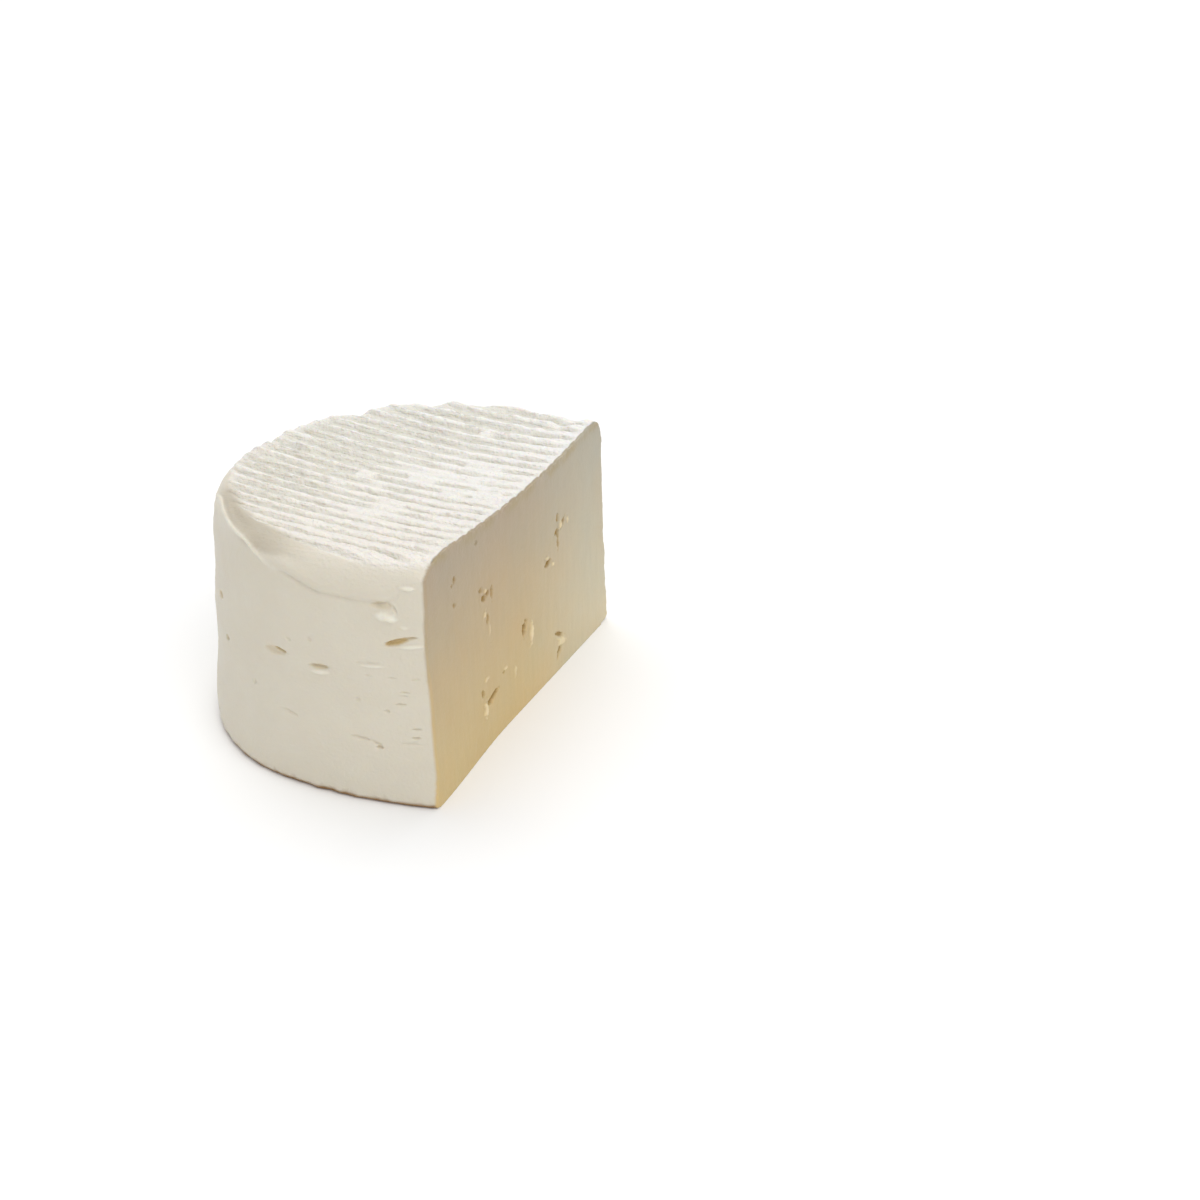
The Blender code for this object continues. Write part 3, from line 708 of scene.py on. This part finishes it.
def refineParts(cheese):
    count = len(cheese.data.polygons)
    centres = np.empty(count * 3, np.float32)
    cheese.data.polygons.foreach_get("center", centres)
    chosen = inFineParts(*centres.reshape(-1, 3).astype(float).T)
    selectOnly(cheese)
    bpy.ops.object.mode_set(mode="EDIT")
    bpy.ops.mesh.select_mode(type="FACE")
    bpy.ops.mesh.select_all(action="DESELECT")
    bpy.ops.object.mode_set(mode="OBJECT")
    cheese.data.polygons.foreach_set("select", chosen)
    bpy.ops.object.mode_set(mode="EDIT")
    bpy.ops.mesh.subdivide(number_cuts=1)
    bpy.ops.object.mode_set(mode="OBJECT")


def thinCheese(cheese):  # fewer faces, except in the fine parts
    addModifier(cheese, "TRIANGULATE", {})
    fine = inFineParts(*readPoints(cheese)) | inBands(*readPoints(cheese))
    coarse = cheese.vertex_groups.new(name="coarse")
    coarse.add(np.flatnonzero(~fine).tolist(), 1.0, "REPLACE")
    coarse.add(np.flatnonzero(fine).tolist(), fineParts["kept"], "REPLACE")
    addModifier(cheese, "DECIMATE", {"ratio": wheel["mostTriangles"] / len(cheese.data.polygons),
                                     "vertex_group": "coarse"})
    selectOnly(cheese)
    bpy.ops.object.shade_smooth_by_angle(angle=math.radians(wheel["smoothBelow"]))


relief = {  # each noise: its height, how often it changes per metre, and its seed
    "swell": (0.00012, 330.0, 6.0),
    "swellStretch": 4.0,
    "chips": (0.00034, 300.0, 5.0),  # out of the foot's edge
    "chipsBias": 0.3,
    "chipsFade": (0.0004, 0.0030),
    "drag": (0.00005, 800.0, 1.0),  # the knife's upright streaks
    "dragStretch": 9.0,
    "tear": (0.00030, 620.0, 8.0),  # how ragged the knife left the skin's edge
    "tearStretch": 2.0,
    "tearBias": -0.2,
    "tearDepth": 0.0016,
    "rimWander": (0.0012, 160.0, 15.0),  # how unevenly each look ends
    "footShadowWander": (0.0004, 500.0, 12.0),
    "edgeWander": (0.0006, 500.0, 3.0),
    "edgeStretch": 3.0,
    "edgeGaps": (1.0, 130.0, 14.0),
    "curds": ((0.00005, 900.0, 9.0), (0.00010, 260.0, 4.0)),
    "curdsFrom": 0.001,
    "wallOver": (-0.0028, -0.0006),  # from the wall's radius
    "wallBelow": (0.0535, 0.0560),
    "faceOver": (-0.0007, -0.0002),  # from the cut
}


def reliefNoise(name, x, y, z, bias=0.0):
    height, perMetre, seed = relief[name]
    return height * (grain(x, y, z, perMetre, seed) + bias)


def openPaste(cheese):
    x, y, z = readPoints(cheese)
    normalX, normalY, normalZ = readNormals(cheese)
    turn = np.degrees(np.arctan2(y, x)) % 360.0
    radius = np.hypot(x, y)
    onWall = smoothStep(*relief["wallOver"], radius - sideRadius(z, turn))
    onWall = onWall * (1.0 - smoothStep(*relief["wallBelow"], z))
    onFace = smoothStep(*relief["faceOver"], x - wheel["cutAt"])
    # inwards from the wall: its openings, slow swells and the foot's chipped edge
    swell = reliefNoise("swell", x / relief["swellStretch"], y / relief["swellStretch"], z)
    chips = reliefNoise("chips", x, y, 0.0 * z, relief["chipsBias"])
    chips = chips * (1.0 - smoothStep(*relief["chipsFade"], z))
    inward = (sideMarks(x, y, z)[0] - swell + chips) * onWall
    x, y = x - inward * x / radius, y - inward * y / radius
    # inwards from the cut: its openings, the knife's streaks and the skin's torn edge
    drag = reliefNoise("drag", y, z / relief["dragStretch"], 0.0 * y)
    torn = smoothStep(-relief["tearDepth"], 0.0, z - dishHeight(x, y))
    tear = torn * reliefNoise("tear", y, z / relief["tearStretch"], 0.0 * y, relief["tearBias"])
    x = x - (cutMarks(y, z)[0] - drag - tear) * onFace
    # along the normals: fine curds
    curds = sum(height * grain(x, y, z, perMetre, seed)
                for height, perMetre, seed in relief["curds"])
    curds = curds * smoothStep(0.0, relief["curdsFrom"], z)
    x, y, z = x + normalX * curds, y + normalY * curds, z + normalZ * curds
    writePoints(cheese, x, y, np.maximum(z, 0.0))


refineParts(cheese)
openPaste(cheese)
print("paste opened", len(cheese.data.vertices))
thinCheese(cheese)
print("thinned to", len(cheese.data.polygons))


fields = {  # where each look begins and ends
    "cutSkin": (-0.0008, -0.0003),  # from the cut
    "cutMargin": 0.005,  # inside these, what is pressed into the cut counts as cut too
    "cutHeights": (0.0015, 0.0520),
    "cutDepth": 0.0030,
    "crestHighlightWidth": 0.0006,
    "insideRim": (0.0465, 0.0495),
    "driedOuter": (0.0515, 0.0570),  # heights over which the shoulder and the top whiten
    "driedInner": (0.0490, 0.0520),
    "driedRim": 0.17,  # how white the smooth rim is
    "furrowOver": (0.0505, 0.0525),
    "furrowStreaks": 0.3,
    # heights over which the painted contact shadow at the foot fades out
    "footShadowOver": (0.0006, 0.0016),
    "shadeUnderEdge": (0.0014, 0.0011),  # the painted shade below the cut's edge: how low, how wide
    "shadeUnderEdgeShare": 0.8,
    "shadeUnderEdgeGaps": (-0.35, 0.35),
    # where the shoulder inside the crest is painted darker, as shade
    "leftTurns": (204.0, 218.0, 246.0, 268.0),
    "leftRadius": (0.0445, 0.0475),
    "leftFromCrest": (0.0004, 0.0012),
    "leftHeight": (0.0540, 0.0555),
}


def crestLine(turn):  # radius and height of the line that the mould left
    lengths = np.hypot(np.diff(shoulderR), np.diff(shoulderZ)).sum(axis=1)
    share = crestOff(turn) / np.interp(turn, shoulderTurns, lengths)
    return readTable(shoulderR, turn, share), readTable(shoulderZ, turn, share)


def isCutFace(x, y, z):  # 1 on the cut and in its openings, 0 on the skin
    halfChord = math.sqrt(wheel["radius"] ** 2 - wheel["cutAt"] ** 2)
    lowest, highest = fields["cutHeights"]
    within = (np.abs(y) < halfChord - fields["cutMargin"]) & (z > lowest) & (z < highest)
    within = within & (x > wheel["cutAt"] - fields["cutDepth"])
    return np.maximum(smoothStep(*fields["cutSkin"], x - wheel["cutAt"]), within)


def paintPaste(cheese):  # how deep in holes, furrowed, raised or high up each place is, for the looks; several of them paint shade into recesses and highlights onto raised places
    x, y, z = readPoints(cheese)
    radius = np.hypot(x, y)
    turn = np.degrees(np.arctan2(y, x)) % 360.0
    cutFace = isCutFace(x, y, z)
    onSide = (radius > wall["inner"]) & (z < wall["highest"]) & (cutFace < 0.5)
    sideHoles, sideCrumbs = sideMarks(x, y, z)[1:]
    cutHoles, cutCrumbs = cutMarks(y, z)[1:]
    crumbs = np.maximum(sideCrumbs * onSide, cutCrumbs * cutFace)
    # the top's white, and painted shade in its grooves
    printed = (1.0 - rimSmoothed(x, y)) * (1.0 - cutFace)
    inside = 1.0 - smoothStep(*fields["insideRim"], radius + reliefNoise("rimWander", x, y, z))
    dried = np.maximum(smoothStep(*fields["driedOuter"], z),
                       smoothStep(*fields["driedInner"], z) * inside)
    # the grooves are painted darker as shade, broken by the mat's fine streaks
    furrowShade = np.clip(grooveDepth(x, y) - fields["furrowStreaks"] * matStreaks(x, y), 0.0, 1.0)
    furrowShade = furrowShade * smoothStep(*fields["furrowOver"], z) * printed
    # the mould's line, painted as a thin highlight, and painted shade on the shoulder inside it
    crestR, crestZ = crestLine(turn)
    # the crest is painted pale along its line, as a thin highlight
    crest = overTurns(turn, lip["crestTurns"]) * bump(
        np.hypot(radius - crestR, z - crestZ), fields["crestHighlightWidth"])
    # the shoulder inside the crest is painted darker, as shade
    left = overTurns(turn, fields["leftTurns"]) * smoothStep(*fields["leftRadius"], radius)
    left = left * smoothStep(*fields["leftFromCrest"], crestR - radius)
    # painted shade in a line below the cut's edge
    below = dishHeight(x, y) - z + reliefNoise(
        "edgeWander", y, z / relief["edgeStretch"], 0.0 * y)
    low, width = fields["shadeUnderEdge"]
    patchy = smoothStep(*fields["shadeUnderEdgeGaps"], reliefNoise("edgeGaps", y, z, 0.0 * y))
    painted = {
        "cutFace": cutFace,
        # darker holes: partly moist tint, partly painted shade in the recesses
        "hollowStainAndShade": np.maximum(sideHoles * onSide, cutHoles * cutFace),
        # pale crumbs and the crest: painted highlights on raised places
        "crumbAndCrestHighlight": np.maximum(crumbs, crest),
        "furrowShade": furrowShade,
        "topSide": dried * np.maximum(printed, fields["driedRim"] * (1.0 - cutFace)),
        # a dark brown line painted along the foot, as the contact shadow where the wall meets the
        # floor
        "foot": 1.0 - smoothStep(*fields["footShadowOver"], z + reliefNoise("footShadowWander", x, y, z)),
        # the line of painted shade below the cut's edge
        "shadeUnderEdge": fields["shadeUnderEdgeShare"] * bump(below - low, width) * patchy,
        "leftShoulderShade": left * smoothStep(*fields["leftHeight"], z),
    }
    for name, values in painted.items():
        layer = cheese.data.attributes.new(name, "FLOAT", "POINT")
        layer.data.foreach_set("value", values.astype(np.float32))


paintPaste(cheese)


curd = {
    "finish": {
        "Roughness": 0.55,
        "IOR": 1.42,
        "Subsurface Weight": 0.4,
        "Subsurface Radius": (1.0, 0.75, 0.45),  # red goes furthest in, blue least
        "Subsurface Scale": 0.0009,
    },
    # the skin; its looks lay painted shade into the grooves, the holes (with their moist tint),
    # the left shoulder and the foot, and painted highlights onto crumbs and the crest
    "side": {"A": "#d4ccbb", "B": "#d9d3c3"},
    "clouds": {"Scale": 90.0, "Detail": 3.0},  # 11 mm clouds
    "top": {"A": "#efeae2", "B": "#f4f2ee"},  # near and far
    "topOver": {"From Min": -0.040, "From Max": 0.035},
    "skinLooks": (("furrowShade", "#dedbd0"), ("hollowStainAndShade", "#ccae6c"), ("crumbAndCrestHighlight", "#e8e4d6"),
                  ("leftShoulderShade", "#bdb4a2"), ("foot", "#8a6534")),
    # the cut; its looks lay painted shade below the edge and into the holes (with their moist
    # tint), and painted highlights onto crumbs
    "cutNear": {"A": "#d2b984", "B": "#ae9e87"},  # at the foot and at the top; the foot's gold is partly the paste's own and partly painted warm bounce light
    "cutFar": {"A": "#d1c4a4", "B": "#b2ab99"},
    "cutAlong": {"From Min": -0.008, "From Max": 0.042},
    "cutUp": {"From Min": 0.0, "From Max": 0.055},
    "streaks": {"Scale": 700.0, "Detail": 3.0},  # 1.4 mm streaks, drawn out upwards
    "streakStretch": (1.0, 1.0, 0.12),
    "streakTint": {"From Min": 0.35, "From Max": 0.65, "To Min": 0.985, "To Max": 1.015},
    "mottle": {"Scale": 60.0, "Detail": 2.0},  # 17 mm clouds
    "mottleTint": {"A": (1.06, 0.99, 0.92, 1.0), "B": (0.94, 1.01, 1.08, 1.0)},
    "cutLooks": (("shadeUnderEdge", "#aa9a78"), ("hollowStainAndShade", "#b0904e"), ("crumbAndCrestHighlight", "#e5d4ad")),
    # the fine relief
    "grains": {"Scale": 1200.0, "Detail": 3.0},  # 0.8 mm curd grains
    "grainsShown": {"To Min": 0.25, "To Max": 1.0},  # share of them on the side and on top
    "threads": {"Scale": 1500.0, "Detail": 1.0},  # 0.7 mm threads of the mat's weave
    "threadLength": 7.0,
    "threadHeight": 0.9,
    "reliefHeight": 0.0006,
}


def layLooks(tree, colour, looks):  # lays each look's colour over those before it
    for field, over in looks:
        share = addNode(tree, "ShaderNodeAttribute", {"attribute_name": field}, {})
        colour = addNode(tree, "ShaderNodeMix", {"data_type": "RGBA"}, {
            "Factor": share["Fac"], "A": colour, "B": over})["Result"]
    return colour


def skinColour(tree, place, topSide):  # white where it dried, cream where it is moist
    clouds = addNode(tree, "ShaderNodeTexNoise", {}, {"Vector": place, **curd["clouds"]})
    side = addNode(tree, "ShaderNodeMix", {"data_type": "RGBA"}, {
        "Factor": clouds["Fac"], **curd["side"]})
    axes = addNode(tree, "ShaderNodeSeparateXYZ", {}, {"Vector": place})
    along = addNode(tree, "ShaderNodeMapRange", {}, {"Value": axes["Y"], **curd["topOver"]})
    white = addNode(tree, "ShaderNodeMix", {"data_type": "RGBA"}, {
        "Factor": along["Result"], **curd["top"]})
    skin = addNode(tree, "ShaderNodeMix", {"data_type": "RGBA"}, {
        "Factor": topSide, "A": side["Result"], "B": white["Result"]})
    return layLooks(tree, skin["Result"], curd["skinLooks"])


def cutColour(tree, place):  # golden low down and near, paler and greyer high up and far; the gold low down is partly painted warm bounce light
    axes = addNode(tree, "ShaderNodeSeparateXYZ", {}, {"Vector": place})
    along = addNode(tree, "ShaderNodeMapRange", {"interpolation_type": "SMOOTHSTEP"}, {
        "Value": axes["Y"], **curd["cutAlong"]})
    upward = addNode(tree, "ShaderNodeMapRange", {}, {"Value": axes["Z"], **curd["cutUp"]})
    near, far = [addNode(tree, "ShaderNodeMix", {"data_type": "RGBA"}, {
        "Factor": upward["Result"], **curd[end]})["Result"] for end in ("cutNear", "cutFar")]
    colour = addNode(tree, "ShaderNodeMix", {"data_type": "RGBA"}, {
        "Factor": along["Result"], "A": near, "B": far})["Result"]
    stretched = addNode(tree, "ShaderNodeMapping", {}, {
        "Vector": place, "Scale": curd["streakStretch"]})
    streaks = addNode(tree, "ShaderNodeTexNoise", {}, {
        "Vector": stretched["Vector"], **curd["streaks"]})
    streaked = addNode(tree, "ShaderNodeMapRange", {}, {
        "Value": streaks["Fac"], **curd["streakTint"]})
    clouds = addNode(tree, "ShaderNodeTexNoise", {}, {"Vector": place, **curd["mottle"]})
    mottled = addNode(tree, "ShaderNodeMix", {"data_type": "RGBA"}, {
        "Factor": clouds["Fac"], **curd["mottleTint"]})
    for tint in (streaked, mottled):
        colour = addNode(tree, "ShaderNodeMix", {"data_type": "RGBA", "blend_type": "MULTIPLY"}, {
            "Factor": 1.0, "A": colour, "B": tint["Result"]})["Result"]
    return layLooks(tree, colour, curd["cutLooks"])


def curdRelief(tree, place, topSide):  # curd grains, and on top the threads of the mat's weave
    shown = addNode(tree, "ShaderNodeMapRange", {}, {"Value": topSide, **curd["grainsShown"]})
    grains = addNode(tree, "ShaderNodeTexNoise", {}, {"Vector": place, **curd["grains"]})
    grains = addNode(tree, "ShaderNodeMath", {"operation": "MULTIPLY"}, {
        0: grains["Fac"], 1: shown["Result"]})
    along = addNode(tree, "ShaderNodeMapping", {"vector_type": "TEXTURE"}, {
        "Vector": place, "Rotation": (0.0, 0.0, math.atan(ribs["slope"])),
        "Scale": (curd["threadLength"], 1.0, 1.0)})
    threads = addNode(tree, "ShaderNodeTexNoise", {}, {
        "Vector": along["Vector"], **curd["threads"]})
    raised = addNode(tree, "ShaderNodeMath", {"operation": "MULTIPLY"}, {
        0: topSide, 1: curd["threadHeight"]})
    return addNode(tree, "ShaderNodeMath", {"operation": "MULTIPLY_ADD"}, {
        0: threads["Fac"], 1: raised["Value"], 2: grains["Value"]})["Value"]


def freshCurd():
    # fresh goat's curd set in a mould, unripened: matt, moist and faintly translucent, with a
    # smooth drying skin and, where a thin knife sliced it, a closer and more golden face
    material = bpy.data.materials.new("freshGoatCurd")
    material.use_nodes = True
    tree = material.node_tree
    place = addNode(tree, "ShaderNodeTexCoord", {}, {})["Object"]
    cutFace, topSide = [addNode(tree, "ShaderNodeAttribute", {"attribute_name": field}, {})["Fac"]
                        for field in ("cutFace", "topSide")]
    colour = addNode(tree, "ShaderNodeMix", {"data_type": "RGBA"}, {
        "Factor": cutFace, "A": skinColour(tree, place, topSide), "B": cutColour(tree, place)})
    grained = addNode(tree, "ShaderNodeBump", {}, {
        "Height": curdRelief(tree, place, topSide), "Strength": 1.0,
        "Distance": curd["reliefHeight"]})
    fillSockets(tree, tree.nodes["Principled BSDF"], {
        "Base Color": colour["Result"], "Normal": grained["Normal"], **curd["finish"]})
    return material


slump = {  # how far the soft block's near corner has settled outwards past the straight cut
    "top": 0.0006,
    "foot": 0.0019,
    "height": 0.045,
    "along": (-0.052, -0.010),
    "reach": 0.010,
}


def slumpCorner(cheese):
    x, y, z = readPoints(cheese)
    low = 1.0 - smoothStep(0.0, slump["height"], z)
    out = slump["top"] + (slump["foot"] - slump["top"]) * low
    out = out * (1.0 - smoothStep(*slump["along"], y))
    out = out * smoothStep(wheel["cutAt"] - slump["reach"], wheel["cutAt"], x)
    writePoints(cheese, x + out, y, z)


slumpCorner(cheese)
x, y, z = readPoints(cheese)
writePoints(cheese, x + wheel["axis"][0], y + wheel["axis"][1], z)
cheese.data.materials.clear()
cheese.data.materials.append(freshCurd())
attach(cheese, "root")
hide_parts("cheese_wheel")
print("cheese dressed")

studio = {
    "floorSize": 12.0,
    "floorGap": 0.00005,  # just below the cheese's base
    "floorPaint": {"Base Color": "#fafafa", "Roughness": 0.9, "Specular IOR Level": 0.1},
    "sky": {"Color": "#ffffff", "Strength": 0.53},
    # turn round the wheel and height, in degrees, and power
    "windows": ((126.0, 62.0, 1.05), (316.0, 52.0, 1.25)),
    "windowWidth": 50.0,
}


def aimAt(thing, target):
    way = np.array(target) - np.array(thing.location)
    flat = math.hypot(way[0], way[1])
    turned = math.atan2(way[1], way[0]) - math.pi / 2.0
    thing.rotation_euler = (math.atan2(flat, -way[2]), 0.0, turned)


def addWindow(turn, rise, power):  # the soft, even light of one large window
    window = bpy.data.lights.new("windowLight", "SUN")
    window.energy = power
    window.angle = math.radians(studio["windowWidth"])
    holder = bpy.data.objects.new("windowLight", window)
    bpy.context.scene.collection.objects.link(holder)
    turn, rise = math.radians(turn), math.radians(rise)
    holder.location = (math.cos(turn) * math.cos(rise), math.sin(turn) * math.cos(rise),
                       math.sin(rise))
    aimAt(holder, (0.0, 0.0, 0.0))


def setStudio():
    bpy.ops.object.select_all(action="DESELECT")
    bpy.ops.mesh.primitive_plane_add(size=studio["floorSize"],
                                     location=(0.0, 0.0, -studio["floorGap"]))
    floor = bpy.context.active_object
    floor.name = "floor"
    paint = bpy.data.materials.new("mattWhitePaint")  # flat wall paint, with hardly any sheen
    paint.use_nodes = True
    fillSockets(paint.node_tree, paint.node_tree.nodes["Principled BSDF"], studio["floorPaint"])
    floor.data.materials.append(paint)
    world = bpy.data.worlds.new("paleStudio")
    bpy.context.scene.world = world
    world.use_nodes = True
    fillSockets(world.node_tree, world.node_tree.nodes["Background"], studio["sky"])
    for window in studio["windows"]:
        addWindow(*window)
    bpy.context.scene.view_settings.view_transform = "Standard"


setStudio()

camera = {
    "lens": 59.46,
    "sensor": 36.0,
    "nearest": 0.01,
    "place": (0.221244, -0.381711, 0.233567),
    "turned": (64.0396, 0.6660, 22.8115),
}

eye = bpy.data.objects.new("camera", bpy.data.cameras.new("camera"))
bpy.context.scene.collection.objects.link(eye)
eye.data.lens = camera["lens"]
eye.data.sensor_width = camera["sensor"]
eye.data.clip_start = camera["nearest"]
eye.location = camera["place"]
eye.rotation_euler = [math.radians(angle) for angle in camera["turned"]]
bpy.context.scene.camera = eye
print("studio set")
